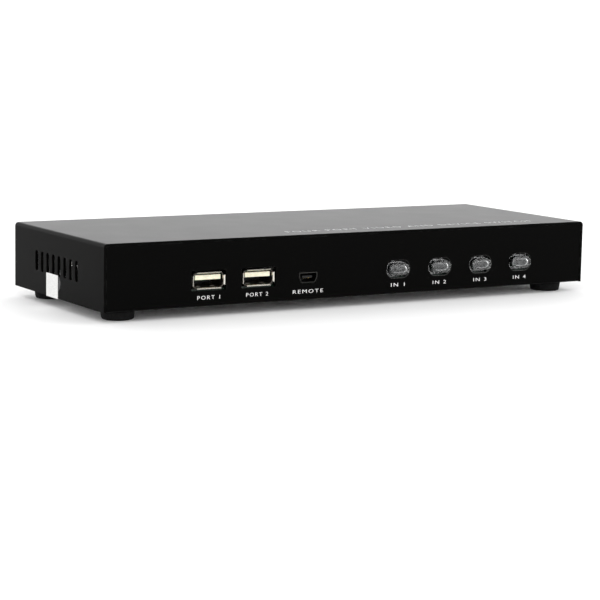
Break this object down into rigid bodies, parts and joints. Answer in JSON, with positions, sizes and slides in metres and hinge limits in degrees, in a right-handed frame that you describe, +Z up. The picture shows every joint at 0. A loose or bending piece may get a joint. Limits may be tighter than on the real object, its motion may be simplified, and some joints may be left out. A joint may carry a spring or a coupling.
{
  "type": "kvm switch",
  "caption": "Desktop KVM switch: low black sheet steel box with push buttons and sockets in front, rows of video and data sockets behind, slotted sides, rubber feet.",
  "frame": {"origin": "middle of the footprint, on the surface that the feet stand on", "axes": "+X to the right as seen from the front, +Y from the front panel to the rear panel, +Z up"},
  "size_m": [0.2267, 0.0856, 0.0302],
  "materials": {
    "black_coat": "satin black powder coat on folded sheet steel",
    "foot_rubber": "matt moulded rubber",
    "black_screw": "black oxide steel",
    "bright_screw": "zinc plated",
    "white_label": "blank paper label",
    "circuit_board": "dark green solder resist",
    "chip": "moulded epoxy",
    "capacitor_can": "drawn can",
    "nickel": "bright nickel plated sheet",
    "ivory_plastic": "moulded",
    "black_plastic": "moulded",
    "contact_metal": "plated pin",
    "clear_plastic": "clear, polished"
  },
  "bodies": {
    "root": {"top_cover": "black_coat", "base_tray": "black_coat", "foot_front_left": "foot_rubber", "foot_front_right": "foot_rubber", "foot_rear_left": "foot_rubber", "foot_rear_right": "foot_rubber", "side_screw_left": "black_screw", "side_screw_right": "black_screw", "side_label": "white_label", "main_board": "circuit_board", "board_screw_front_left": "bright_screw", "board_screw_front_right": "bright_screw", "board_screw_rear_left": "bright_screw", "board_screw_rear_right": "bright_screw", "video_switch_chip": "chip", "device_hub_chip": "chip", "control_chip": "chip", "crystal": "bright_screw", "power_coil": "chip", "capacitor_1": "capacitor_can", "capacitor_2": "capacitor_can", "front_device_1_shell": "nickel", "front_device_1_tongue": "ivory_plastic", "front_device_2_shell": "nickel", "front_device_2_tongue": "ivory_plastic", "rear_device_1_shell": "nickel", "rear_device_1_tongue": "ivory_plastic", "rear_device_2_shell": "nickel", "rear_device_2_tongue": "ivory_plastic", "remote_socket_shell": "nickel", "remote_socket_tongue": "black_plastic", "video_out_shell": "nickel", "video_out_tongue": "black_plastic", "video_in_1_shell": "nickel", "video_in_1_tongue": "black_plastic", "video_in_2_shell": "nickel", "video_in_2_tongue": "black_plastic", "video_in_3_shell": "nickel", "video_in_3_tongue": "black_plastic", "video_in_4_shell": "nickel", "video_in_4_tongue": "black_plastic", "host_1_shell": "nickel", "host_1_core": "ivory_plastic", "host_2_shell": "nickel", "host_2_core": "ivory_plastic", "host_3_shell": "nickel", "host_3_core": "ivory_plastic", "host_4_shell": "nickel", "host_4_core": "ivory_plastic", "power_jack_body": "black_plastic", "power_jack_pin": "contact_metal", "button_switch_1": "black_plastic", "button_switch_2": "black_plastic", "button_switch_3": "black_plastic", "button_switch_4": "black_plastic"},
    "button_1": {"button_cap_1": "clear_plastic"},
    "button_2": {"button_cap_2": "clear_plastic"},
    "button_3": {"button_cap_3": "clear_plastic"},
    "button_4": {"button_cap_4": "clear_plastic"}
  },
  "joints": [
    {"name": "button_1_press", "type": "slide", "parent": "root", "child": "button_1", "axis": [0, 1, 0], "range_m": [0, 0.0008], "stiffness_N_per_m": 1500},
    {"name": "button_2_press", "type": "slide", "parent": "root", "child": "button_2", "axis": [0, 1, 0], "range_m": [0, 0.0008], "stiffness_N_per_m": 1500},
    {"name": "button_3_press", "type": "slide", "parent": "root", "child": "button_3", "axis": [0, 1, 0], "range_m": [0, 0.0008], "stiffness_N_per_m": 1500},
    {"name": "button_4_press", "type": "slide", "parent": "root", "child": "button_4", "axis": [0, 1, 0], "range_m": [0, 0.0008], "stiffness_N_per_m": 1500}
  ]
}
